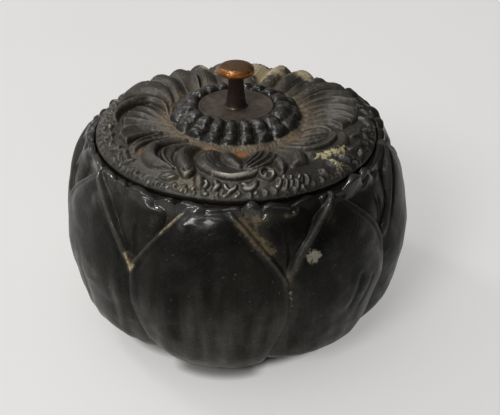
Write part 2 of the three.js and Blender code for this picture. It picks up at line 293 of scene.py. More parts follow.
def outer_petal(theta, height, rise, number, start, span):
    """Depth of one petal's face from the crown line, with its rim and flute masks."""
    petal = PETALS[number]
    share = np.maximum(0.05, 1 - petal.narrowing * rise**petal.power)
    foot = FOOT_TURN * np.clip(1 - height / FOOT_TURN_Z, 0, 1) ** 1.3
    lean = petal.lean * np.clip(1 - height / LEAN_Z, 0, 1)
    aside = wrapped(theta - start - span / 2 - lean)
    over_left = number == 0 or number > len(PETALS) / 2
    over_right = number < len(PETALS) / 2
    over = np.where(aside < 0, over_left, over_right)
    clear = np.where(over, 1.0, smoothstep(NOTCH_Z - 1, NOTCH_Z + 5, height))
    half = share * span / 2 + np.where(over, -foot, foot + 1.2 * (1 - clear))
    u = np.abs(aside) / half
    drop = (PETAL_CROWN - PETAL_STEP * clear) * (1 - 0.5 * np.clip(1 - height / 12, 0, 1))
    body = -drop * np.clip(u, 0, 1) ** 3
    inside = (1 - u) * half * math.radians(BODY_R)
    rim = bump(inside, petal.rim, petal.rim) * clear * np.where(aside < 0, 1.0, petal.far_rim)
    upper = smoothstep(36, 46, height)
    body = body + RIM_HEIGHT * rim * upper - RIM_GROOVE * bump(inside, 3.2, 1.0) * clear * upper
    body = body - EDGE_SLOPE * np.clip(u - 1, 0, 3) * half * math.radians(BODY_R)
    crests, flutes = petal_flutes(theta, height, number, aside, 1 - u)
    body = body + FLUTE_DEPTH * flutes
    body = body - petal.tuck * np.clip(1 - height / TUCK_Z, 0, 1) ** 1.4
    return body, rim * (0.3 + 0.7 * upper), crests


def inner_petal(theta, rise, edge):
    """Depth of the small petal that stands in the notch between two outer ones."""
    swell = np.sin(math.pi * np.clip(rise, 0, 0.82) / 1.64) ** 0.9
    half = 0.4 + SMALL_HALF * swell
    aside = wrapped(theta - edge)
    v = np.abs(aside - 0.8) / half
    body = 0.3 - PETAL_PROUD + SMALL_SWELL * smoothstep(0.1, 0.6, rise) * (1 - np.clip(v, 0, 1) ** 4)
    rib = bump(aside, -0.4, 0.5) - 1.1 * bump(aside, 1.2, 0.7)
    body = body + RIB_HEIGHT * rib * (1 - smoothstep(0.55, 0.75, rise))
    body = body - np.clip(v - 1, 0, 5) * half * 2.0
    body = body + 1.0 * smoothstep(0.8, 1.0, rise)
    return np.where(rise > 0.01, body, -9)


def vessel_relief(theta, height):
    """Depth of the carving from the petals' crown line, and masks of the rims and flutes."""
    rise = np.clip((height - NOTCH_Z) / (LIP_Z - NOTCH_Z), 0, 1)
    relief = -PETAL_PROUD + 2.7 * smoothstep(0.84, 1.0, rise) + 0 * theta
    rims = np.zeros_like(relief)
    flutes = np.zeros_like(relief)
    for number, (start, span) in enumerate(petal_spans()):
        body, rim, crests = outer_petal(theta, height, rise, number, start, span)
        rims = np.where(body > relief, rim, rims)
        flutes = np.where(body > relief, crests, flutes)
        relief = np.maximum(relief, body)
    for start, _ in petal_spans():
        body = inner_petal(theta, rise, start)
        rims = np.where(body > relief, 0, rims)
        relief = np.maximum(relief, body)
    return relief, rims, flutes


def lip_knobs(theta):
    """The uneven row of small knobs that rings the lip, 0 between them and 1 on their tops."""
    phase = (theta * LIP_BUMPS / 360 + 0.3 * waves(theta, 0 * theta, 9, low=4, high=16)) % 1 * 2 - 1
    knob = np.clip(1 - phase**2, 0, 1) ** 0.8
    return knob * np.clip(0.72 + 0.4 * waves(theta, 0 * theta, 5, low=5, high=17), 0.1, 1.15)


def spot(theta, radius, angle, at, across, along):
    """A soft round patch at an angle and radius or height, with its half sizes in millimetres."""
    dx = np.radians(wrapped(theta - angle)) * at / across
    dy = (radius - at) / along
    return np.exp(-(dx**2 + dy**2))


def wall_spot(theta, height, angle, at, across, along):
    """The same on the vessel's wall, where a degree is about a millimetre."""
    return np.exp(-((wrapped(theta - angle) / across) ** 2 + ((height - at) / along) ** 2))


def wall_line(theta, height, start, end, width):
    """A soft line between two (angle, height) points on the vessel's wall."""
    a = np.array(start, float)
    d = np.array(end, float) - a
    u = wrapped(theta - a[0])
    v = height - a[1]
    t = np.clip((u * d[0] + v * d[1]) / (d @ d), 0, 1)
    far = np.hypot(u - t * d[0], v - t * d[1])
    return np.exp(-((far / width) ** 2))


def vessel_stains(theta, height):
    """Masks for pale dust in the notches, the rough bare patch, the chips and a painted sheen on the left
    and on the front shoulder.
    """

    def at(angle, middle, across, along):
        return wall_spot(theta, height, angle, middle, across, along)

    def between(start, end, width):
        return wall_line(theta, height, start, end, width)

    dust = between((-34, 41.5), (-36, 46), 0.45)
    dust = dust + between((-34, 41.5), (-32.5, 43.5), 0.5)
    dust = dust + 0.8 * between((-24, 56), (-18.5, 61.5), 0.5)
    for start, _ in petal_spans():
        dust = dust + 0.25 * at(start, 43.5, 1.2, 2.6)
    bare = 0.9 * between((2, 61), (10, 52.5), 2.2)
    bare = bare + 0.8 * at(8, 61.5, 4, 1.4) + 0.6 * at(17, 62, 3, 1.2)
    chips = 1.2 * at(23.5, 49.2, 2.6, 2.0)
    chips = chips + 0.6 * between((16.3, 39), (16.5, 34), 0.6)
    chips = chips + 0.5 * between((16.2, 32), (16.4, 30), 0.4)
    # Painted sheen: the left side and the front petal's shoulder are painted paler where light falls on
    # them.
    painted_sheen = plateau(theta, -78, 40) * smoothstep(0, 9, height)
    painted_sheen = painted_sheen + 0.35 * at(-8, 54, 24, 9)
    return {"pale_dust": dust, "bare_wood": bare, "chip": chips, "painted_sheen": painted_sheen}


def vessel_wax_and_sheen(theta, height):
    """Where thick, lumpy, shiny wax lies near the lip, which the material also paints paler as a painted
    sheen.
    """

    def lump(angle, middle, across, along):
        return wall_spot(theta, height, angle, middle, across, along)

    share = 0.45 + 0.35 * waves(theta, height, 7, low=2, high=12)
    band = smoothstep(LIP_Z - 5, LIP_Z - 1.5, height) * share
    lumps = lump(-12, 62.5, 4, 2.6) + lump(-17, 59.5, 2, 2.2)
    lumps = lumps + 1.3 * lump(-30, 62.8, 9, 1.5) + 1.2 * lump(-51, 60, 2.5, 4)
    lumps = lumps + 0.7 * lump(8, 63, 5, 1.2) + 0.8 * lump(31, 61, 1.5, 4)
    return np.clip(band, 0, 1) + lumps


def vessel_lip():
    """The rounded lip, from its outside over the top and down to the lid's seat."""
    points = [
        (LIP_R, LIP_Z - 0.5),
        (LIP_R - 0.4, LIP_Z - 0.12),
        (LIP_R - 1.1, LIP_Z + 0.05),
        (SEAT_R + 0.3, LIP_Z + 0.05),
        (SEAT_R + 0.06, LIP_Z - 0.12),
        (SEAT_R, LIP_Z - 0.5),
        (SEAT_R, LIP_Z - 1.1),
    ]
    return spline(points, 0.16)


def vessel_inside():
    """The lid's seat, the turned cavity and its floor."""
    land = spline([(SEAT_R, RIM_Z), (MOUTH_R + 0.3, RIM_Z)], 0.8)
    cavity_r = BODY_R - WALL
    wall = [
        (MOUTH_R, RIM_Z - 0.3),
        (MOUTH_R, RIM_Z - 7),
        (cavity_r, BELLY_Z),
        (cavity_r - 4, FLOOR_Z + 6),
        (FLOOR_R + 2, FLOOR_Z + 0.8),
        (FLOOR_R, FLOOR_Z),
    ]
    floor = np.column_stack([np.linspace(FLOOR_R - 1, 0, 14), np.full(14, FLOOR_Z)])
    return [land, spline(wall, 1.6), floor]


def vessel_wear(theta, heights):
    """Hand-cut unevenness of the outside, lumps for the wax and the dents on the right."""
    uneven = waves(theta, heights, 3) * 0.22
    uneven = uneven + waves(theta, heights, 4, low=6, high=30, rise=0.5) * 0.07
    lumps = 0.34 * waves(theta, heights, 6, count=20, low=8, high=30, rise=0.7)
    lumps = lumps + 0.08 * waves(theta, heights, 8, count=24, low=20, high=80, rise=1.6)
    dents = wall_line(theta, heights, (41, 37), (37, 27), 1.3)
    dents = dents + 0.8 * wall_line(theta, heights, (46, 34), (42, 25), 1.0)
    return uneven, lumps, dents


def vessel():
    theta = np.linspace(-180, 180, VESSEL_COLS, endpoint=False)
    turn = theta[None, :]
    foot = np.column_stack([np.linspace(0, FOOT_R - 6, 12), np.full(12, 0.0)])
    outside = spline(petal_line(), 0.36)
    lip = vessel_lip()
    line = np.vstack([foot, outside, lip[1:], *vessel_inside()])
    heights = line[:, 1:]
    first = len(foot)
    last = first + len(outside) + len(lip) - 1
    lip_rows = np.arange(first + len(outside) - 1, last)
    along_lip = np.linspace(0, 1, len(lip_rows))
    on_outside = np.zeros((len(line), 1))
    on_outside[first:last] = 1

    # The carving fades out over the lip, and the wear of the lip's inside fades in
    carved = on_outside.copy()
    carved[lip_rows, 0] = (1 - along_lip) ** 1.5
    over_lip = on_outside.copy()
    over_lip[lip_rows, 0] = smoothstep(1.0, 0.55, along_lip)
    inner_lip = np.zeros((len(line), 1))
    inner_lip[lip_rows, 0] = smoothstep(0.45, 0.7, along_lip)

    relief, rims, flutes = vessel_relief(turn, heights)
    uneven, lumps, dents = vessel_wear(turn, heights)
    knobs = lip_knobs(turn)
    raised = knobs + (1 - knobs) * 0.75 * (plateau(turn, -88, 32) + plateau(turn, 80, 26))
    on_left = plateau(turn, -112, 42)
    lip_carving = 0.7 * knobs - 0.45 + on_left * (1.1 * knobs - 0.7)
    flare = FLARE * smoothstep(48, 61, heights) * bump(wrapped(turn - FLARE_TURN), 0, 24)
    near_lip = smoothstep(LIP_Z - 2.6, LIP_Z - 0.9, heights) * on_outside
    wax_and_sheen = vessel_wax_and_sheen(turn, heights) * on_outside
    push = relief * carved
    push = push + uneven * over_lip * smoothstep(0, 4, heights)
    push = push + flare * over_lip
    push = push + lip_carving * near_lip * over_lip
    push = push - LIP_WEAR * (1 - raised) * inner_lip
    push = push + wax_and_sheen * lumps * over_lip
    push = push - DENT_DEPTH * dents * on_outside
    push = np.minimum(push, REACH - line[:, :1])
    top = smoothstep(LIP_Z - 3.0, LIP_Z - 0.7, heights) * on_outside
    lift = (LIP_KNOB * raised - LIP_HOLLOW) * top

    piece = turned_mesh("carved_vessel", line, push, theta, closed=False, lift=lift)
    groove = smoothstep(-1.2, -2.7, push)
    masks = {"wax_and_sheen": wax_and_sheen, "groove": groove, "rim": rims, "flute": flutes}
    masks.update(vessel_stains(turn, heights))
    for name, mask in masks.items():
        paint(piece, name, mask * on_outside, closed=False)
    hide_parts("vessel_body")
    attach(piece, "vessel")
    return piece


# Ornament of the lid. A section gives the height across a form, from its first edge to its second.
ROUND = (0.1, 0.78, 1.0, 0.78, 0.1)
FLAT = (0.5, 0.95, 1.0, 0.95, 0.5)
HOLLOW = (1.0, 0.42, 0.22, 0.42, 1.0)
CLOSED = (1.0, 0.85, 0.8, 0.85, 1.0)
FIRST_RIM = (1.0, 0.5, 0.3, 0.3, 0.35)
SECOND_RIM = (0.2, 0.55, 0.75, 0.9, 1.0)
LEAN_FIRST = (0.55, 1.0, 0.92, 0.62, 0.05)
LEAN_SECOND = (0.05, 0.62, 0.92, 1.0, 0.55)

# Each leaf has its two edges as (angle, radius) points, the sections along it, how high it stands
# along its length and its height in millimetres.
LEAVES = {
    "bulb": (
        [(-21, 26), (-22, 30), (-20, 33.6), (-16, 37), (-9, 39.2), (-2, 40), (5, 39), (11, 37.2), (17, 35)],
        [(-14, 24.6), (-10, 26), (-8, 30.3), (-5, 33.6), (-1, 35.8),
         (4, 36.8), (9, 36.9), (13, 36), (17, 34.8)],
        (ROUND, LEAN_FIRST, FIRST_RIM, FIRST_RIM), (0.5, 0.95, 1, 1, 0.9, 0.5), 2.0,
    ),
    "inner_lobe": (
        [(-9, 25.6), (-8.5, 29.5), (-4, 33), (2, 35.2)],
        [(-1, 25.4), (2, 28.5), (3.5, 31.5), (3.5, 34.4)],
        (ROUND, LEAN_FIRST, LEAN_FIRST), (0.5, 1, 1, 0.4), 1.6,
    ),
    "s_leaf": (
        [(-31, 24.6), (-34, 28), (-32, 32.4), (-28, 36.3), (-24, 39.3), (-20, 41.2)],
        [(-25, 24.4), (-26, 28), (-24, 31.3), (-21, 34), (-18.5, 36.7), (-18, 40.6)],
        (ROUND, LEAN_FIRST, LEAN_FIRST, ROUND), (0.5, 0.9, 1, 1, 1, 0.5), 1.9,
    ),
    "outer_c": (
        [(-42, 22.4), (-50, 25.4), (-52.5, 30.5), (-51.5, 34),
         (-48, 37.4), (-43, 40), (-36, 41), (-28, 39.3)],
        [(-38, 23.4), (-44, 27.2), (-46, 31), (-44, 34), (-41, 36.2), (-37, 37.9), (-32, 38.6), (-27, 39)],
        (LEAN_SECOND, LEAN_SECOND, SECOND_RIM, SECOND_RIM), (0.4, 0.9, 1, 1, 1, 0.6), 1.9,
    ),
    "inner_c": (
        [(-36, 24.6), (-41, 28.5), (-41.5, 32), (-38.5, 35), (-34, 37), (-28, 38.4)],
        [(-33.5, 24.8), (-37, 28.4), (-36.5, 31.5), (-33.5, 34.4), (-30, 36.6), (-26.5, 38.4)],
        (LEAN_FIRST, FIRST_RIM, FIRST_RIM), (0.4, 0.9, 1, 1, 0.6), 1.5,
    ),
    "left_fan_front": (
        [(-50, 21.9), (-59, 25.7), (-60, 31), (-57, 36), (-54, 39.4)],
        [(-46, 22), (-54, 26.5), (-54.5, 31.8), (-53, 36), (-50.5, 39.2)],
        (HOLLOW, HOLLOW, CLOSED), (0.2, 0.8, 1, 1, 0.7), 1.3,
    ),
    "left_fan_next": (
        [(-56, 21.9), (-68, 26.4), (-72.5, 32), (-71.5, 36.3), (-67, 39)],
        [(-50, 21.9), (-59, 25.7), (-61.5, 31), (-61, 35.5), (-59, 38.8)],
        (HOLLOW, HOLLOW, CLOSED), (0.2, 0.8, 1, 1, 1), 1.8,
    ),
    "arch": (
        [(-97, 22), (-110, 24), (-116, 28.4), (-115, 32.8),
         (-109, 36), (-100, 38.6), (-91, 39.8), (-83, 39.4)],
        [(-89, 22), (-100, 23.6), (-106.5, 28), (-106, 31.6),
         (-100, 34.6), (-93, 36.6), (-87, 37.6), (-81, 38)],
        (LEAN_SECOND, LEAN_SECOND, ROUND), (0.3, 0.9, 1, 1, 0.9, 0.5), 2.2,
    ),
    "back_arch": (
        [(-112, 22), (-124, 26), (-130, 31), (-130.5, 36), (-127, 40.5), (-119, 42.4)],
        [(-98, 22), (-111, 24.2), (-117, 28.5), (-117.5, 33), (-112, 37.5), (-103, 40.6)],
        (ROUND, FLAT, LEAN_FIRST), (0.3, 0.8, 1, 1, 0.5), 2.0,
    ),
    "back_leaf_1": (
        [(-130, 22), (-138, 28), (-142.5, 34), (-142.5, 40.8)],
        [(-115, 22), (-125, 26.5), (-131, 32), (-128, 40)],
        (ROUND, LEAN_SECOND, ROUND), (0.3, 0.9, 1, 0.8), 2.2,
    ),
    "back_leaf_2": (
        [(-147, 22), (-152, 28), (-154.5, 34), (-154, 40.8)],
        [(-132, 22), (-140, 28), (-144, 34), (-143.5, 40.8)],
        (HOLLOW, FIRST_RIM, ROUND), (0.3, 0.9, 1, 0.8), 2.3,
    ),
    "back_leaf_3": (
        [(-165, 22.4), (-166, 29), (-166, 35), (-165, 40.8)],
        [(-148, 22), (-154, 28), (-156, 34), (-155, 40.8)],
        (ROUND, LEAN_SECOND, ROUND), (0.3, 0.9, 1, 0.8), 2.2,
    ),
    "back_leaf_4": (
        [(-180, 22.4), (-180, 29), (-180, 35), (-179, 40.6)],
        [(-167, 22.4), (-168, 29), (-168, 35), (-166.5, 40.6)],
        (ROUND,), (0.3, 0.9, 1, 0.8), 2.1,
    ),
    "right_lobe_1": (
        [(177, 23), (177, 29), (177, 35), (177, 40.8)],
        [(164, 23), (164, 29), (162, 35), (161, 40.6)],
        (ROUND,), (0.3, 0.9, 1, 0.8), 2.2,
    ),
    "right_lobe_2": (
        [(162, 23), (161, 29), (160.5, 35), (160, 40.8)],
        [(150, 23), (150, 29), (150, 35), (149.5, 40.6)],
        (ROUND, LEAN_FIRST, ROUND), (0.3, 0.9, 1, 0.9), 2.3,
    ),
    "right_lobe_3": (
        [(149, 23), (149, 29), (149, 35), (148.5, 40.8)],
        [(137, 23), (137.5, 29), (137, 35), (136, 40.8)],
        (ROUND, LEAN_FIRST, ROUND), (0.3, 0.9, 1, 0.9), 2.3,
    ),
    "right_lobe_4": (
        [(136, 23), (136.5, 29), (136, 35), (135.5, 40.8)],
        [(127, 22.4), (128, 29), (128, 35), (128, 41.4)],
        (ROUND, FIRST_RIM, ROUND), (0.3, 0.9, 1, 0.7), 1.9,
    ),
    "right_lobe_5": (
        [(126.5, 22.4), (127.5, 29), (127.5, 35), (126.5, 41.8)],
        [(115, 22.2), (117.5, 28), (117, 35), (112, 42)],
        (ROUND, FLAT, ROUND), (0.3, 0.9, 1, 0.9), 2.3,
    ),
    "right_fan_next": (
        [(80, 22.2), (85.5, 27), (85.5, 32), (81, 36.8)],
        [(71, 22.6), (77, 26.6), (78.5, 30.8), (73.5, 34.8)],
        (HOLLOW, HOLLOW, CLOSED), (0.3, 0.8, 1, 1), 1.6,
    ),
    "right_fan_last": (
        [(71, 22.6), (77, 26.6), (78.5, 30.8), (74, 34)],
        [(65, 23), (69.5, 26.4), (70.5, 29.4), (68.5, 32)],
        (HOLLOW,), (0.3, 0.8, 1, 0.5), 1.3,
    ),
    "boat_low": (
        [(34, 24), (35, 27), (38, 30.5), (43, 33), (50, 34.4), (57, 34.9), (63, 34.4), (67.5, 32.4)],
        [(40, 24.6), (42, 27.8), (47, 30.4), (53, 31.9), (58, 32.6), (62, 32.8), (65, 32.4), (67, 31.4)],
        (FIRST_RIM,), (0.4, 1, 1, 1, 0.8), 1.6,
    ),
    "boat_middle": (
        [(41, 25), (44, 28.2), (49, 30.2), (55, 31.4), (61, 32)],
        [(49, 24.6), (52, 27), (56, 29), (60, 30.4), (63, 31.6)],
        (HOLLOW,), (0.4, 1, 1, 0.5), 1.1,
    ),
    "boat_top": (
        [(54, 24.3), (57.5, 26.7), (61.5, 29.4), (65, 31.8)],
        [(60, 24), (64, 26.2), (67.5, 28.6), (67.5, 31)],
        (HOLLOW,), (0.3, 1, 1, 0.6), 1.2,
    ),
    "under_boat": (
        [(30, 27), (33, 33), (38, 36.8), (45, 38.8), (53, 39.8), (62, 39), (69, 36)],
        [(34, 27.5), (37.5, 31.6), (43, 34.4), (50, 35.8), (57, 36.4), (64, 36), (69, 34.2)],
        (ROUND,), (0.4, 1, 1, 1, 0.5), 1.2,
    ),
    "comma_leaf": (
        [(25.5, 26), (27.5, 30), (27, 34), (24.5, 37.6)],
        [(29.5, 25.6), (33.5, 29.6), (36, 34), (33, 38.6)],
        (ROUND, LEAN_SECOND, ROUND), (0.4, 0.8, 1, 0.8), 1.9,
    ),
    "eye": (
        [(-31, 42.4), (-27, 41), (-23, 41.6)],
        [(-31, 42.6), (-27, 42.9), (-23, 41.9)],
        (HOLLOW,), (0.7, 1, 0.7), 0.9,
    ),
}

# The leaves of a fan share their edges. A fan has those edges, the sections, and how high each
# leaf stands along its length with its height.
FANS = {
    "blades": (
        [
            [(3, 34.2), (7, 30.8), (11, 27.8), (15, 24.8)],
            [(4, 34.8), (9, 31.8), (14, 28.6), (19, 24.9)],
            [(5, 35.6), (10.5, 33.4), (17, 30.2), (23, 26)],
            [(6, 36.4), (12, 35.2), (19.5, 32.2), (25, 27.5)],
        ],
        (HOLLOW,),
        [((0.6, 1, 1, 0.6), 1.3), ((0.6, 1, 1, 0.6), 1.4), ((0.6, 1, 1, 0.6), 1.5)],
    ),
    "left_fan": (
        [
            [(-78, 21.9), (-91, 25), (-98, 29.5), (-100, 33.6)],
            [(-68, 21.9), (-82, 25.4), (-89, 30.5), (-91.5, 35.4)],
            [(-61, 21.9), (-74, 25.8), (-80, 31.5), (-82.5, 36.5)],
            [(-56, 21.9), (-68, 26.4), (-72.5, 32), (-73, 37)],
        ],
        (HOLLOW, HOLLOW, CLOSED),
        [((0.2, 0.7, 0.9, 0.6), 1.4), ((0.2, 0.8, 1, 0.8), 1.5), ((0.2, 0.8, 1, 0.9), 1.6)],
    ),
    "right_fan": (
        [
            [(114, 22), (117, 28), (116, 35), (111, 41.6)],
            [(105, 22), (108, 28), (106.5, 34.5), (100, 40.6)],
            [(97.5, 22), (100, 28.4), (97.5, 34), (92, 39.4)],
            [(89, 22), (92.5, 28), (89.5, 34), (84, 38.6)],
            [(80, 22.2), (85.5, 27), (85.5, 32), (80, 37.2)],
        ],
        (HOLLOW, HOLLOW, CLOSED),
        [
            ((0.3, 0.9, 1, 0.9), 2.0),
            ((0.3, 0.9, 1, 0.9), 1.8),
            ((0.3, 0.9, 1, 0.9), 1.7),
            ((0.3, 0.9, 1, 1), 1.7),
        ],
    ),
}

# Each stroke has a path, half widths along it and a height. THIN makes all of them a little finer.
THIN = 0.8
STROKES = [
    # A comma and a ring in front on the right
    ([(21.3, 33.6), (21.4, 35.4), (19.8, 38.8)], [2.1, 2.2, 0.8], 1.7),
    ([(12.6, 38.6), (13.2, 39.6)], [1.7, 1.7], 0.8),
    (
        [(13, 41.1), (10.3, 39.9), (10.6, 37.9), (13.2, 37.1), (15.6, 38), (15.7, 40), (13, 41.1)],
        [0.45, 0.45], 1.3,
    ),
    # Small forms on the left
    ([(-54, 40.2), (-52, 41.5), (-48, 42.2)], [0.7, 1.3, 0.6], 1.0),
    ([(-79.5, 40.2), (-78, 40.4)], [0.8, 0.8], 1.0),
    ([(-72, 40.4), (-70.5, 40.9)], [0.9, 0.8], 1.0),
    # Knobs in front
    ([(-14.6, 41), (-13.6, 42.6)], [1.6, 1.8], 1.4),
    ([(-8.2, 41.3), (-7.2, 42.6), (-8.4, 43.8)], [0.9, 0.9, 0.4], 1.1),
    ([(3.2, 42.7), (5.4, 42.4), (7.8, 41.4)], [1.0, 1.4, 0.8], 1.2),
    # Knobs and curls on the right
    ([(42.6, 41), (43, 42)], [1.7, 1.7], 1.2),
    ([(49.6, 41.4), (50, 42.4)], [1.6, 1.6], 1.2),
    ([(36.4, 42.4), (36.8, 43)], [1.5, 1.4], 1.1),
    ([(57, 40.8), (61, 41.8), (66, 41.2)], [0.7, 1.2, 0.6], 0.9),
    ([(67, 38.6), (71, 39.9), (76, 39.5)], [0.6, 1.1, 0.6], 0.9),
    ([(88, 39.6), (86, 41.4), (84, 42.8), (86, 44.4)], [0.6, 0.9, 0.9, 0.5], 1.0),
    ([(98, 42.4), (95, 43.8), (92, 43.4)], [0.7, 1.0, 0.5], 1.0),
    # The crest of the curved leaf on the left
    ([(-23.6, 39.4), (-20.5, 40.9), (-18.4, 40.2), (-18.2, 38.2)], [0.3, 0.45, 0.4, 0.3], 2.2),
]

# Thin raised lines, polished and painted pale as glints, each with a path, its half width and its height.
MARKS = [
    # A small fork in front
    ([(-4.4, 41.8), (-4.0, 42.7), (-2.6, 43.4)], 0.22, 1.5),
    ([(0.0, 41.9), (-0.4, 42.9), (-2.2, 43.6), (-3.2, 44.4)], 0.22, 1.5),
    # Crescents
    ([(-12.2, 41.3), (-10.8, 42.3), (-12.0, 43.3)], 0.22, 1.6),
    ([(-6.1, 41.8), (-6.7, 42.8), (-8.3, 43.4)], 0.2, 1.4),
    ([(2.2, 42.9), (4.2, 43.3), (6.4, 42.9), (8.0, 41.7)], 0.2, 1.5),
    ([(2.0, 41.6), (4.0, 42.2)], 0.22, 1.3),
    # Lines on the leaves and on the ring
    ([(-11, 38.9), (-5, 40.0), (0, 40.1), (6, 39.2), (10, 37.9)], 0.2, 2.3),
    ([(-20.6, 41.4), (-18.2, 40.0)], 0.22, 1.9),
    ([(-27.2, 42.6), (-24.2, 41.6)], 0.19, 1.3),
    ([(13.4, 38.2), (15.2, 39.4), (14.2, 40.9)], 0.2, 1.5),
    # Slanting lines in the border
    ([(11.2, 40.7), (12.4, 39.4)], 0.19, 1.4),
    ([(18.2, 41.7), (19.4, 40.5)], 0.2, 1.4),
    ([(21.2, 41.9), (22.4, 40.9)], 0.19, 1.3),
    ([(24.5, 42.4), (25.8, 41.2)], 0.19, 1.3),
    ([(-79, 39.8), (-77, 40.6)], 0.4, 1.3),
    # Short lines at the edge
    ([(-11.6, 44.8), (-10.4, 44.3)], 0.2, 0.8),
    ([(-4.6, 44.9), (-3.6, 44.4)], 0.18, 0.7),
    ([(-0.6, 44.9), (0.4, 44.4)], 0.18, 0.7),
    ([(6.6, 44.4), (7.6, 43.7)], 0.18, 0.7),
    ([(-16.4, 44.1), (-15.4, 43.4)], 0.22, 0.9),
    ([(-20.6, 44.8), (-19.6, 44.2)], 0.2, 0.8),
    ([(-26.4, 44.8), (-25.4, 44.2)], 0.2, 0.8),
    ([(-34.6, 45.0), (-33.6, 44.5)], 0.2, 0.7),
]


def stroke_row(rng, start, step, count, sway, low, path, halves, height, mirror=None):
    """Like strokes round the border, each shifted a little. mirror gives -1 to mirror one, or 1."""
    strokes = []
    for k in range(count):
        angle = start + step * k + rng.uniform(-sway, sway)
        way = mirror(k) if mirror else 1
        base = rng.uniform(*low)
        points = [(angle + way * across, base + out) for across, out in path]
        strokes.append((points, halves, rng.uniform(*height)))
    return strokes


def border_strokes():
    """Slanting strokes, curls and the row of arcs that fill the lid's rolled border."""
    rng = np.random.default_rng(11)
    hatch = [(0.8, 0), (0, 0.8), (-0.4, 1.5)]
    slant = [(0, 0), (0.8, 1.1), (0, 2.2), (-1, 2.9)]
    arc = [(0, 0), (0.8, 0.7), (0, 1.3)]
    scale = [(-1, 0.4), (0, 0), (1, 0.5)]
    curl = [(-1.8, 0.7), (0, 0), (1.6, -1.1)]

    def either(_):
        return rng.choice([-1, 1])

    def alternate(k):
        return 1 if k % 2 else -1

    # First angle, step, count, sway, range of radius, path, half widths, range of height, mirroring
    rows = [
        (-45, 2.1, 13, 0.6, (42.9, 43.9), hatch, [0.2, 0.4, 0.25], (0.4, 0.9)),
        (16.8, 2.2, 6, 0.4, (40.5, 41.8), slant, [0.3, 0.6, 0.45, 0.2], (0.6, 1.1)),
        (-180, 3.75, 96, 1.2, (43.3, 43.9), arc, [0.25, 0.4, 0.3], (0.3, 0.75), either),
        (-125, 1.2, 60, 1.0, (40.5, 44), scale, [0.2, 0.45, 0.2], (0.3, 0.8)),
        (54, 6, 44, 1.0, (42.0, 43.0), curl, [0.4, 0.9, 0.4], (0.6, 1.0), alternate),
    ]
    strokes = []
    for row in rows:
        strokes += stroke_row(rng, *row)
    return strokes


def all_leaves():
    """The single leaves, and those of the fans between each pair of neighbouring edges."""
    leaves = list(LEAVES.values())
    for edges, sections, forms in FANS.values():
        for first, second, (rise, height) in zip(edges, edges[1:], forms):
            leaves.append((first, second, sections, rise, height))
    return leaves


def plan(points):
    """A smooth line over the plan through (angle, radius) points."""
    turn = np.radians([angle for angle, _ in points])
    radius = np.array([r for _, r in points])
    return spline(np.column_stack([radius * np.sin(turn), -radius * np.cos(turn)]), PLAN_STEP)


def even(line, count):
    """The same line with a number of evenly spaced points."""
    run = np.append(0, np.cumsum(np.hypot(*np.diff(line, axis=0).T)))
    where = np.linspace(0, run[-1], count)
    return np.column_stack([np.interp(where, run, line[:, 0]), np.interp(where, run, line[:, 1])])


def across_table(sections, s):
    """Heights across a form for each of its sections, smoothly interpolated."""
    table = []
    for section in sections:
        smooth = spline(list(zip(np.linspace(0, 1, len(section)), section)), 0.04)
        table.append(np.interp(s, smooth[:, 0], smooth[:, 1]))
    return np.array(table)


def lay_ribbon(relief, radii, first, second, sections, along, height):
    """Raises the relief grid to a ribbon stretched between two plan lines."""
    long_way = max(len(first), len(second)) * PLAN_STEP
    wide = np.hypot(*(first[len(first) // 2] - second[len(second) // 2])) + 1
    nt = int(long_way / RIBBON_STEP) + 8
    ns = int(wide / RIBBON_STEP) + 8
    t = np.linspace(0, 1, nt)
    s = np.linspace(0, 1, ns)
    a = even(first, nt)[:, None, :]
    b = even(second, nt)[:, None, :]
    points = a + (b - a) * s[None, :, None]
    table = across_table(sections, s)
    place = t * (len(table) - 1)
    low = np.minimum(place.astype(int), max(len(table) - 2, 0))
    high = np.minimum(low + 1, len(table) - 1)
    share = (place - low)[:, None]
    shape = table[low] * (1 - share) + table[high] * share
    rise = np.interp(t, np.linspace(0, 1, len(along)), along)
    ends = np.clip(np.minimum(t, 1 - t) * long_way / END_ROUND, 0, 1) ** 0.5
    grooves = VEIN_DEPTH * np.cos(2 * math.pi * s * max(2, round(wide / VEIN_STEP)))
    level = height * (rise * ends)[:, None] * (shape + grooves)
    angle = np.degrees(np.arctan2(points[..., 0], -points[..., 1]))
    radius = np.hypot(points[..., 0], points[..., 1])
    rows, cols = relief.shape
    col = np.round((angle + 180) / 360 * cols).astype(int) % cols
    row = np.round(np.interp(radius, radii, np.arange(rows))).astype(int)
    np.maximum.at(relief, (row, col), level)


def lay_stroke(relief, radii, path, halves, height):
    """Raises the relief grid to a rounded stroke along a path."""
    line = plan(path)
    way = np.gradient(line, axis=0)
    way /= np.linalg.norm(way, axis=1)[:, None]
    half = np.interp(np.linspace(0, 1, len(line)), np.linspace(0, 1, len(halves)), halves)
    line = np.vstack([line[:1] - way[:1] * half[0], line, line[-1:] + way[-1:] * half[-1]])
    way = np.vstack([way[:1], way, way[-1:]])
    half = np.concatenate([[half[0] * 0.2], half, [half[-1] * 0.2]])[:, None]
    side = np.column_stack([-way[:, 1], way[:, 0]]) * half
    lay_ribbon(relief, radii, line + side, line - side, (ROUND,), (0.7, 1, 1, 0.7), height)


def softened(field, rows, cols, times):
    """The field averaged over a small window, closed round the turn."""
    for _ in range(times):
        tall = np.pad(field, ((rows, rows), (0, 0)), mode="edge")
        field = sum(tall[k : k + len(field)] for k in range(2 * rows + 1)) / (2 * rows + 1)
        field = sum(np.roll(field, k, axis=1) for k in range(-cols, cols + 1)) / (2 * cols + 1)
    return field


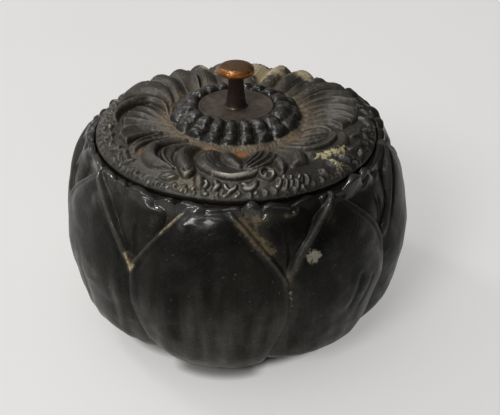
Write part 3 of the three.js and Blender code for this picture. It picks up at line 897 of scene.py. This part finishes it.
def lid_relief(radii, cols):
    """The cast ornament over the lid's field, as heights over (radius, angle), and its marks."""
    relief = np.zeros((len(radii), cols))
    marks = np.zeros((len(radii), cols))
    for first, second, sections, rise, height in all_leaves():
        lay_ribbon(relief, radii, plan(first), plan(second), sections, rise, height)
    for path, halves, height in STROKES + border_strokes():
        lay_stroke(relief, radii, path, [THIN * half for half in halves], height)
    for path, half, height in MARKS:
        lay_stroke(relief, radii, path, [0.5 * half, half, 0.5 * half], height)
        lay_stroke(marks, radii, path, [0.5 * half, half, 0.5 * half], 1.0)
    return softened(relief * RELIEF, 1, 1, 2), softened(marks, 1, 1, 1)


def bead_gap(theta):
    """How far the bead ring lies under its envelope, 0 on a bead's top and 1 between two beads."""
    turn = BEAD_TURN + 360 * np.arange(BEADS) / BEADS
    angles = turn - BEAD_SWING * np.sin(np.radians(2 * turn))
    order = np.append(angles, angles[0] + 360)
    gaps = (order[1:] + order[:-1]) / 2
    place = (theta - gaps[-1]) % 360
    starts = np.sort((gaps - gaps[-1]) % 360)
    ends = np.append(starts[1:], 360)
    bead = np.searchsorted(starts, place, side="right") - 1
    middle = (starts[bead] + ends[bead]) / 2
    half = (ends[bead] - starts[bead]) / 2
    u = (place - middle) / half
    return 1 - np.sqrt(np.clip(1 - np.abs(u) ** 2.2, 0, 1))


def lid_profile():
    """The lid's section in runs: seat, bead ring, field, edge, underside, roof and bore."""
    beads = [
        (PLATE_R + 0.08, CROWN_Z + 0.3), (PLATE_R + 0.12, PLATE_TOP + 0.25), (13.1, 73.3), (14.2, 73.7),
        (15.6, 73.5), (16.9, 72.9), (17.8, 72.05), (18.4, 71.75), (19.5, 71.4), (20.5, 70.5),
        (RING_OUT, 69.0),
    ]
    field = [
        (21.5, 68.6), (23, 68.2), (26, 68.0), (30, 68.2), (35, 68.5), (39, 68.3), (41, 67.8), (42.5, 67.0),
        (44.0, 65.9), (45.0, 65.0), (LID_R - 0.15, 64.5),
    ]
    edge = [(LID_R - 0.1, 64.3), (LID_R - 0.2, 63.9), (LID_R - 0.7, 63.5), (LID_R - 0.9, RIM_Z)]
    under_z = CROWN_Z - LID_WALL
    roof = [
        (COLLAR_IN, RIM_Z + 0.2), (COLLAR_IN, 64.6), (37.0, ROOF_Z), (30, ROOF_Z), (RING_OUT, ROOF_Z),
        (RING_IN + 2, 68.4), (RING_IN - 1, under_z), (BORE_R, under_z),
    ]
    return [
        spline([(BORE_R, CROWN_Z), (PLATE_R, CROWN_Z)], 2.0),
        spline(beads, 0.25),
        spline(field, 0.2),
        spline(edge, 0.3),
        spline([(LID_R - 1.2, RIM_Z), (COLLAR_IN + 0.2, RIM_Z)], 1.0),
        spline(roof, 1.0),
        spline([(BORE_R, under_z + 0.3), (BORE_R, CROWN_Z - 0.3)], 0.8),
    ]


def bead_ring(turn, along, gap):
    """Depth of the bead ring from its envelope, with the pinched waist of the beads in front."""
    depth = BEAD_DEPTH * smoothstep(0.02, 0.3, along) * (1 - 0.35 * smoothstep(0.8, 1, along))
    waist = WAIST_DEPTH * bump(along, 0.66, 0.055) * plateau(turn, -3, 38)
    bumpy = 0.13 * waves(turn, along * 20, 21, low=3, high=26, rise=0.4)
    lumpy = 0.05 * waves(turn, along * 20, 22, low=18, high=60, rise=0.9)
    return -gap * depth + (bumpy + lumpy) * smoothstep(0.2, 0.4, along) - waist


def field_wear(turn, radius):
    """The uneven casting of the lid's field, roughest at the foot of the bead ring."""
    uneven = 0.12 * waves(turn, radius, 31, low=2, high=14, rise=0.3)
    fine = 0.035 * waves(turn, radius, 32, count=30, low=10, high=70, rise=2.0)
    gritty = 0.07 * waves(turn, radius, 33, count=40, low=40, high=150, rise=5.0)
    return uneven + fine + gritty * smoothstep(28, 22, radius)


def lid_masks(turn, radius, along, gap, relief, marks):
    """Masks for the lid's material, each with its values on the bead ring and on the field."""
    around = softened(relief, 3, 5, 2)
    beside = softened(relief, 1, 2, 1)
    # Thin crest lines are painted pale, as worn edges and as painted highlights.
    lines = smoothstep(*FINE_STEP, relief - beside) * (0.3 + 0.2 * smoothstep(37, 41, radius))
    bead_tops = smoothstep(0.3, 0.0, gap) * smoothstep(0.2, 0.5, along) * smoothstep(0.9, 0.6, along)
    masks = {
        "line": (0, lines),
        # Painted shade in the narrow cuts between raised forms.
        "cut": (0, smoothstep(*FINE_STEP, beside - relief)),
        "polish_and_glint": (0, smoothstep(0.35, 0.8, marks)),
        "valley": (smoothstep(0.35, 0.9, gap), smoothstep(0.0, 0.5, around - relief)),
        "crest": (bead_tops, smoothstep(0.1, 0.5, relief - around)),
        "ring": (1, 0),
    }
    for name, stain in lid_stains(turn, radius).items():
        masks[name] = (0, stain)
    return masks


def lid_stains(turn, radius):
    """Masks for rust, dust at the ring's foot, bare metal, the pale crust, moss and painted shade on the
    border's sides.
    """

    def at(angle, middle, across, along):
        return spot(turn, radius, angle, middle, across, along)

    rust = at(-20, 23.4, 2.2, 1.2) + at(3, 25.5, 2.6, 2.6)
    rust = rust + 0.6 * at(-48, 38.5, 1.6, 1.8) + 0.35 * at(45, 23.5, 6, 1.6)
    dust = 1.1 * bump(radius, 21.8, 3.6) * (0.7 + 0.3 * waves(turn, radius, 41, low=2, high=9))
    dust = dust + 0.35 * smoothstep(31, 22, radius)
    dust = dust + 0.8 * at(-50, 38, 4, 3) + 0.6 * at(68, 24.5, 8, 4)
    bare = 1.2 * at(163, 34, 8, 6) + at(140, 37.5, 4, 2.5) + 0.7 * at(-164, 36, 4, 3)
    crust = at(45, 38.2, 3.4, 1.0) + at(52, 39.4, 3.4, 1.2) + at(43.5, 41.3, 1.2, 2.2)
    crust = crust + 0.7 * at(40, 37.2, 3.0, 0.6) + 0.6 * at(46, 42.4, 1.6, 1.0)
    crust = crust + 0.5 * at(15.5, 42, 0.9, 1.3)
    moss = at(-20, 42.8, 4.5, 1.6)
    # Painted shade: the border is painted darker on the right and the left.
    painted_side_shade = (plateau(turn, 52, 34) + 0.6 * plateau(turn, -52, 28)) * smoothstep(36, 40, radius)
    return {"rust": rust, "dust": dust, "bare": bare, "crust": crust, "moss": moss, "painted_side_shade": painted_side_shade}


def lid():
    theta = np.linspace(-180, 180, LID_COLS, endpoint=False)
    turn = theta[None, :]
    runs = lid_profile()
    line = np.vstack(runs)
    ends = np.cumsum([len(run) for run in runs])
    on_ring = slice(ends[0], ends[1])
    on_field = slice(ends[1], ends[2])
    along = np.linspace(0, 1, len(runs[1]))[:, None]
    radius = line[on_field, :1]
    gap = bead_gap(turn)
    relief, marks = lid_relief(radius[:, 0], LID_COLS)
    fading = 1 - 0.8 * smoothstep(44.4, LID_R - 0.2, radius)
    push = np.zeros((len(line), LID_COLS))
    push[on_ring] = bead_ring(turn, along, gap)
    push[on_field] = (relief + field_wear(turn, radius)) * fading
    piece = turned_mesh("embossed_lid", line[::-1], push[::-1], theta, closed=True)
    for name, (ring_mask, field_mask) in lid_masks(turn, radius, along, gap, relief, marks).items():
        mask = np.zeros_like(push)
        mask[on_ring] = ring_mask
        mask[on_field] = field_mask
        paint(piece, name, mask[::-1], closed=True)
    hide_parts("lid")
    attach(piece, "lid")
    return piece


# Knob, plate and collar


def turned_piece(name, parts, step, node, closed, count=96):
    """A plain turned piece from smooth runs of (radius, height) points."""
    runs = [spline(part, step) for part in parts]
    line = np.vstack(runs[:1] + [run[1:] for run in runs[1:]])
    theta = np.linspace(-180, 180, count, endpoint=False)
    piece = turned_mesh(name, line, np.zeros((len(line), count)), theta, closed)
    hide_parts(node)
    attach(piece, "lid")
    return piece


def knob():
    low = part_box("knob")[0].z / MM
    foot = PLATE_TOP + 0.05
    head = KNOB_TOP - 4.3
    parts = [
        [(0, low), (1.0, low)],
        [(1.0, low), (SHANK_R - 0.05, low + 0.5), (SHANK_R, low + 1.2)],
        [(SHANK_R, low + 1.2), (SHANK_R, foot)],
        [(SHANK_R, foot), (3.9, foot)],
        [
            (3.9, foot), (3.5, foot + 0.3), (3.2, foot + 1.25), (2.9, foot + 3.15), (2.6, foot + 5.75),
            (2.45, head - 1.6), (2.6, head - 0.5), (4.2, head), (5.4, head + 0.6), (KNOB_R, head + 1.4),
            (5.6, head + 2.3), (4.4, head + 3.1), (2.5, head + 3.5), (0.0, head + 3.7),
        ],
    ]
    return turned_piece("turned_knob", parts, 0.16, "knob", closed=False)


def plate():
    rim_z = PLATE_TOP + 0.15
    top_z = PLATE_TOP + 0.02
    parts = [
        [(BORE_R, CROWN_Z), (PLATE_R - 0.25, CROWN_Z)],
        [(PLATE_R - 0.25, CROWN_Z), (PLATE_R - 0.02, CROWN_Z + 0.4), (PLATE_R - 0.05, rim_z)],
        [
            (PLATE_R - 0.05, rim_z), (PLATE_R - 0.3, rim_z + 0.23), (PLATE_R - 0.7, rim_z + 0.17),
            (PLATE_R - 1.6, rim_z - 0.05), (8.5, PLATE_TOP), (BORE_R, top_z),
        ],
        [(BORE_R, top_z), (BORE_R, CROWN_Z)],
    ]
    return turned_piece("dished_plate", parts, 0.3, "knob_plate", closed=True)


def collar():
    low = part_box("lid_collar")[0].z / MM
    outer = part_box("lid_collar")[1].x / MM
    top = RIM_Z - 0.02
    parts = [
        [(COLLAR_IN + 0.2, low), (outer - 0.3, low)],
        [(outer - 0.3, low), (outer, low + 0.3), (outer, low + 0.8)],
        [(outer, low + 0.8), (outer, top)],
        [(outer, top), (COLLAR_IN, top)],
        [(COLLAR_IN, top), (COLLAR_IN, low + 0.2)],
    ]
    return turned_piece("locating_ring", parts, 0.5, "lid_collar", closed=True, count=240)


# Materials


class Nodes:
    """A small helper that builds the nodes of a material or of the world line by line."""

    def __init__(self, owner):
        owner.use_nodes = True
        self.tree = owner.node_tree
        self.shader = self.tree.nodes.get("Principled BSDF")

    def add(self, kind, inputs=None, **settings):
        """Adds a node, makes its settings and fills the inputs that are named."""
        node = self.tree.nodes.new(kind)
        for key, value in settings.items():
            setattr(node, key, value)
        for key, value in (inputs or {}).items():
            self.fill(node.inputs[key], value)
        return node

    def link(self, start, end):
        self.tree.links.new(start, end)

    def fill(self, socket, value):
        """Gives a socket a number, a colour, a vector or a link."""
        if isinstance(value, tuple):
            socket.default_value = (*value, 1)
        elif isinstance(value, (int, float, Vector)):
            socket.default_value = value
        else:
            self.link(value, socket)

    def place(self):
        return self.add("ShaderNodeTexCoord").outputs["Object"]

    def noise(self, scale, detail=4.0, rough=0.55, stretch=(1, 1, 1)):
        spread = self.add("ShaderNodeMapping", {"Vector": self.place(), "Scale": Vector(stretch)})
        where = spread.outputs["Vector"]
        inputs = {"Vector": where, "Scale": scale, "Detail": detail, "Roughness": rough}
        return self.add("ShaderNodeTexNoise", inputs).outputs["Fac"]

    def range(self, value, low, high, to_low=0.0, to_high=1.0):
        inputs = {"Value": value, "From Min": low, "From Max": high, "To Min": to_low, "To Max": to_high}
        return self.add("ShaderNodeMapRange", inputs).outputs["Result"]

    def math(self, operation, a, b):
        return self.add("ShaderNodeMath", {0: a, 1: b}, operation=operation).outputs["Value"]

    def times(self, a, b):
        return self.math("MULTIPLY", a, b)

    def plus(self, a, b):
        return self.math("ADD", a, b)

    def clamp(self, value):
        return self.range(value, 0.0, 1.0)

    def mask(self, name):
        return self.add("ShaderNodeAttribute", attribute_name=name).outputs["Fac"]

    def height(self):
        return self.add("ShaderNodeSeparateXYZ", {"Vector": self.place()}).outputs["Z"]

    def mix(self, factor, a, b):
        inputs = {"Factor": factor, "A": a, "B": b}
        return self.add("ShaderNodeMix", inputs, data_type="RGBA").outputs["Result"]

    def layer(self, mask, tint, share=1.0):
        """Lays a tint over the colour so far where the mask is, up to a share of its strength."""
        self.tone = self.mix(self.times(mask, share), self.tone, tint)

    def color(self, value):
        self.link(value, self.shader.inputs["Base Color"])

    def roughness(self, value):
        self.link(value, self.shader.inputs["Roughness"])

    def bump(self, height, strength, distance):
        inputs = {"Height": height, "Strength": strength, "Distance": distance}
        self.link(self.add("ShaderNodeBump", inputs).outputs["Normal"], self.shader.inputs["Normal"])


def vessel_material():
    material = bpy.data.materials.new("ebonised_petals")
    n = Nodes(material)
    streaks = n.noise(90, 5, 0.62, (1, 1, 0.09))
    blotches = n.noise(55, 6, 0.65)
    fine = n.noise(900, 4, 0.6)
    specks = n.noise(1500, 1, 0.5)
    grain = n.noise(1300, 5, 0.8)
    ragged = n.range(n.noise(500, 6, 0.75), 0.3, 0.7, -0.6, 0.6)
    # The lower petals are painted lighter than the upper ones as painted bounce light from the floor, with
    # the lighter tone streaked along the flute crests.
    low = n.range(n.height(), 0.050, 0.020)
    dark = n.mix(n.range(blotches, 0.35, 0.7), (0.003, 0.0029, 0.0024), (0.016, 0.0142, 0.0106))
    streak = n.plus(n.range(streaks, 0.40, 0.64, 0, 0.75), n.times(n.mask("flute"), 0.4))
    light = n.mix(streak, (0.007, 0.0068, 0.0056), (0.104, 0.101, 0.085))
    n.tone = n.mix(low, dark, light)
    n.layer(n.range(blotches, 0.52, 0.72), (0.034, 0.029, 0.020), 0.3)
    n.layer(n.times(n.mask("groove"), n.range(blotches, 0.35, 0.65)), (0.050, 0.045, 0.036), 0.35)
    n.layer(n.times(n.mask("rim"), n.range(fine, 0.3, 0.7, 0.5, 1)), (0.13, 0.125, 0.112), 0.6)
    # Painted sheen: the waxy lumps near the lip are painted paler.
    n.layer(n.mask("wax_and_sheen"), (0.075, 0.072, 0.066), 0.3)
    # Painted sheen on the left side and the front shoulder.
    n.layer(n.times(n.mask("painted_sheen"), n.range(blotches, 0.35, 0.65, 0.16, 0.36)), (0.115, 0.112, 0.102))
    n.layer(n.range(grain, 0.5, 0.75), (0.003, 0.003, 0.0025), 0.5)
    n.layer(n.range(grain, 0.45, 0.25), (0.10, 0.096, 0.080), 0.2)
    n.layer(n.range(specks, 0.775, 0.80), (0.30, 0.29, 0.26), 0.45)
    n.layer(n.times(n.mask("pale_dust"), n.range(fine, 0.3, 0.55)), (0.42, 0.36, 0.24))
    n.layer(n.clamp(n.mask("bare_wood")), (0.11, 0.09, 0.06), 0.35)
    n.layer(n.range(n.plus(n.mask("bare_wood"), ragged), 0.4, 0.9), (0.21, 0.17, 0.105), 0.75)
    n.layer(n.range(n.plus(n.mask("chip"), ragged), 0.45, 0.85), (0.30, 0.285, 0.235), 0.85)
    n.color(n.tone)
    dull = n.clamp(n.plus(n.mask("bare_wood"), n.mask("pale_dust")))
    n.roughness(n.plus(n.range(blotches, 0.3, 0.75, 0.30, 0.46), n.times(dull, 0.3)))
    rubbed = n.range(n.noise(160, 4, 0.6), 0.48, 0.7, 0, 0.35)
    n.link(n.clamp(n.plus(rubbed, n.mask("wax_and_sheen"))), n.shader.inputs["Coat Weight"])
    n.bump(n.plus(n.times(fine, 0.5), blotches), 0.4, 0.0006)
    n.shader.inputs["Coat Roughness"].default_value = 0.2
    n.shader.inputs["Sheen Weight"].default_value = 0.09
    n.shader.inputs["Sheen Roughness"].default_value = 0.4
    n.shader.inputs["Specular IOR Level"].default_value = 0.15
    return material


def lid_material():
    material = bpy.data.materials.new("embossed_patina")
    n = Nodes(material)
    blotches = n.noise(70, 5, 0.6)
    fine = n.noise(700, 5, 0.65)
    grit = n.noise(1500, 3, 0.6)
    grain = n.noise(1100, 4, 0.8)
    patchy = n.noise(240, 6, 0.75)
    ragged = n.range(n.noise(420, 6, 0.75), 0.3, 0.7, -0.5, 0.5)
    flakes = n.range(n.noise(800, 6, 0.85), 0.3, 0.7, -1.0, 1.0)
    valley = n.mask("valley")
    beads = n.mix(n.range(fine, 0.4, 0.7), (0.020, 0.0195, 0.019), (0.060, 0.056, 0.050))
    dusty = n.plus(n.times(valley, 0.5), n.range(fine, 0.35, 0.65, 0.4, 0.9))
    dust = n.times(n.times(n.mask("dust"), n.range(patchy, 0.35, 0.62, 0.35, 1.05)), dusty)
    n.tone = n.mix(n.range(blotches, 0.35, 0.7), (0.029, 0.0262, 0.0218), (0.080, 0.071, 0.056))
    n.layer(n.range(fine, 0.5, 0.7), (0.13, 0.12, 0.10), 0.35)
    n.layer(n.mask("ring"), beads)
    n.layer(n.times(valley, n.range(fine, 0.3, 0.65, 0.5, 1)), (0.150, 0.118, 0.076), 0.75)
    n.layer(n.times(n.mask("crest"), n.range(fine, 0.3, 0.65, 0.1, 0.6)), (0.19, 0.172, 0.142), 0.45)
    n.layer(dust, (0.250, 0.196, 0.128))
    n.layer(n.range(grain, 0.52, 0.72), (0.018, 0.017, 0.015), 0.55)
    n.layer(n.range(grain, 0.44, 0.28), (0.20, 0.185, 0.155), 0.35)
    # Painted shade: the narrow cuts are painted near black.
    n.layer(n.mask("cut"), (0.010, 0.009, 0.008), 0.8)
    # Worn edges and painted highlights along the thin crest lines.
    n.layer(n.times(n.mask("line"), n.range(fine, 0.3, 0.6, 0.4, 1)), (0.34, 0.32, 0.28), 0.8)
    # Painted glints on the polished raised lines.
    n.layer(n.times(n.mask("polish_and_glint"), n.range(fine, 0.25, 0.5, 0.5, 1)), (0.55, 0.52, 0.46), 0.9)
    # Painted shade on the border's sides.
    n.layer(n.times(n.mask("painted_side_shade"), n.range(patchy, 0.3, 0.6, 0.25, 0.6)), (0.018, 0.017, 0.015))
    n.layer(n.range(n.plus(n.mask("rust"), ragged), 0.35, 0.9), (0.37, 0.175, 0.050), 0.9)
    n.layer(n.range(n.plus(n.mask("bare"), ragged), 0.25, 0.8), (0.56, 0.48, 0.33), 0.9)
    n.layer(n.times(n.mask("moss"), n.range(fine, 0.35, 0.6)), (0.17, 0.135, 0.06), 0.7)
    n.layer(n.range(n.plus(n.mask("crust"), flakes), 0.6, 0.95), (0.72, 0.67, 0.43))
    n.color(n.tone)
    gloss = n.plus(n.times(n.mask("ring"), 0.2), n.times(n.mask("polish_and_glint"), 0.14))
    dull = n.plus(n.times(n.clamp(dust), 0.3), n.range(blotches, 0.3, 0.7, 0.34, 0.46))
    n.roughness(n.math("SUBTRACT", dull, gloss))
    n.bump(n.plus(fine, n.times(grit, 0.4)), 0.4, 0.0005)
    n.shader.inputs["Specular IOR Level"].default_value = 0.6
    return material


def knob_material():
    material = bpy.data.materials.new("worn_copper")
    n = Nodes(material)
    patches = n.noise(380, 6, 0.72)
    fine = n.noise(1500, 3, 0.6)
    height = n.height()
    top = KNOB_TOP * MM
    foot = PLATE_TOP * MM
    cap = n.range(height, top - 0.0027, top - 0.0012)
    stem = n.range(height, top - 0.0043, top - 0.0051)
    low = n.range(height, foot + 0.005, foot + 0.0005)
    olive = n.mix(n.range(patches, 0.4, 0.6), (0.095, 0.068, 0.040), (0.20, 0.115, 0.055))
    n.tone = n.mix(n.range(patches, 0.35, 0.65), (0.58, 0.24, 0.045), (0.24, 0.10, 0.032))
    n.layer(n.times(cap, n.range(patches, 0.3, 0.6, 0.7, 1)), olive)
    n.layer(n.range(n.noise(600, 5, 0.7), 0.5, 0.62), (0.085, 0.040, 0.018), 0.6)
    n.layer(stem, (0.046, 0.030, 0.023))
    n.layer(low, (0.090, 0.066, 0.050), 0.85)
    n.color(n.tone)
    n.roughness(n.range(patches, 0.3, 0.7, 0.20, 0.40))
    n.bump(n.plus(fine, patches), 0.3, 0.0004)
    n.shader.inputs["Metallic"].default_value = 0.5
    return material


def plate_material():
    material = bpy.data.materials.new("brown_plate")
    n = Nodes(material)
    patches = n.noise(180, 5, 0.6)
    smudges = n.noise(420, 6, 0.75)
    n.tone = n.mix(n.range(patches, 0.35, 0.7), (0.086, 0.068, 0.054), (0.175, 0.142, 0.112))
    n.layer(n.range(smudges, 0.5, 0.64), (0.040, 0.030, 0.024), 0.6)
    n.layer(n.range(smudges, 0.42, 0.3), (0.26, 0.215, 0.165), 0.5)
    n.color(n.tone)
    n.roughness(n.range(patches, 0.3, 0.7, 0.38, 0.5))
    n.bump(n.noise(1400, 3, 0.6), 0.25, 0.0002)
    n.shader.inputs["Metallic"].default_value = 0.2
    return material


def metal_material():
    material = bpy.data.materials.new("dull_fastener")
    n = Nodes(material)
    patches = n.noise(300, 5, 0.6)
    n.color(n.mix(n.range(patches, 0.35, 0.7), (0.26, 0.20, 0.12), (0.14, 0.10, 0.06)))
    n.roughness(n.range(patches, 0.3, 0.7, 0.32, 0.5))
    n.bump(n.noise(1200, 3, 0.6), 0.2, 0.0002)
    n.shader.inputs["Metallic"].default_value = 0.8
    return material


def floor_material():
    material = bpy.data.materials.new("pale_floor")
    n = Nodes(material)
    n.color(n.mix(n.range(n.noise(3, 2, 0.5), 0.4, 0.6), (0.43, 0.427, 0.422), (0.45, 0.447, 0.442)))
    n.shader.inputs["Roughness"].default_value = 0.9
    # The floor glows as painted light, and ambient occlusion dims the glow near the box as a painted
    # contact shadow.
    n.shader.inputs["Emission Color"].default_value = (1, 0.995, 0.985, 1)
    shade = n.add("ShaderNodeAmbientOcclusion", {"Distance": 0.0042}, samples=8)
    glow = n.range(shade.outputs["AO"], 0.35, 0.95, 0.0, 0.41)
    n.link(glow, n.shader.inputs["Emission Strength"])
    return material


def dress(piece, material):
    piece.data.materials.clear()
    piece.data.materials.append(material)


# Stage


def stage():
    bpy.ops.mesh.primitive_plane_add(size=6, location=(0, 0, 0))
    floor = bpy.context.object
    floor.name = "floor"
    dress(floor, floor_material())


def area_light(name, place, aim, size, power, color):
    data = bpy.data.lights.new(name, "AREA")
    data.shape = "DISK"
    data.size = size
    data.energy = power
    data.color = color
    lamp = bpy.data.objects.new(name, data)
    lamp.location = place
    lamp.rotation_euler = (Vector(aim) - Vector(place)).to_track_quat("-Z", "Y").to_euler()
    bpy.context.scene.collection.objects.link(lamp)
    return lamp


def lights():
    aim = (0, 0, 0.04)
    area_light("window", (-0.88, 0.56, 1.12), aim, 0.26, 3.2, (1, 0.99, 0.97))
    area_light("ceiling", (-0.2, -0.1, 1.0), aim, 0.9, 0.8, (1, 0.98, 0.96))
    glints = area_light("lamp", (-0.24, -0.06, 0.95), aim, 0.08, 2.7, (1, 0.99, 0.98))
    glints.visible_diffuse = False
    area_light("front", (-0.84, -1.18, 1.08), aim, 0.64, 14.8, (1, 0.99, 0.98))
    studio_walls()


def studio_walls():
    """A room that is light above and behind on the left, and dim towards the front and right."""
    world = bpy.data.worlds.new("studio")
    n = Nodes(world)
    where = n.add("ShaderNodeTexCoord").outputs["Generated"]
    light_side = Vector((-0.62, 0.2, 0.76)).normalized()
    facing = n.add("ShaderNodeVectorMath", {0: where, 1: light_side}, operation="DOT_PRODUCT")
    back = n.tree.nodes["Background"]
    back.inputs["Color"].default_value = (1.0, 0.99, 0.98, 1)
    n.link(n.range(facing.outputs["Value"], 0.0, 1.0, 0.07, 0.72), back.inputs["Strength"])
    bpy.context.scene.world = world


def camera():
    tilt = math.radians(ELEVATION)
    look = Vector((0, 0, LOOK_Z * MM))
    data = bpy.data.cameras.new("camera")
    data.sensor_width = SENSOR
    data.lens = FOCAL_PX / FRAME_W * SENSOR
    data.shift_x = (FRAME_W / 2 - LOOK_X) / FRAME_W
    data.shift_y = (LOOK_Y - FRAME_H / 2) / FRAME_W
    data.clip_start = 0.01
    view = bpy.data.objects.new("camera", data)
    view.location = look + DISTANCE * MM * Vector((0, -math.cos(tilt), math.sin(tilt)))
    view.rotation_euler = (look - view.location).to_track_quat("-Z", "Y").to_euler()
    bpy.context.scene.collection.objects.link(view)
    bpy.context.scene.camera = view


camera()
stage()
lights()
dress(vessel(), vessel_material())
embossed = lid_material()
dress(lid(), embossed)
dress(collar(), embossed)
dress(knob(), knob_material())
dress(plate(), plate_material())
fasteners = metal_material()
for node in ("knob_washer", "knob_nut"):
    dress(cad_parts[node], fasteners)

bpy.context.scene.view_settings.view_transform = "Standard"
bpy.context.scene.view_settings.gamma = 0.8
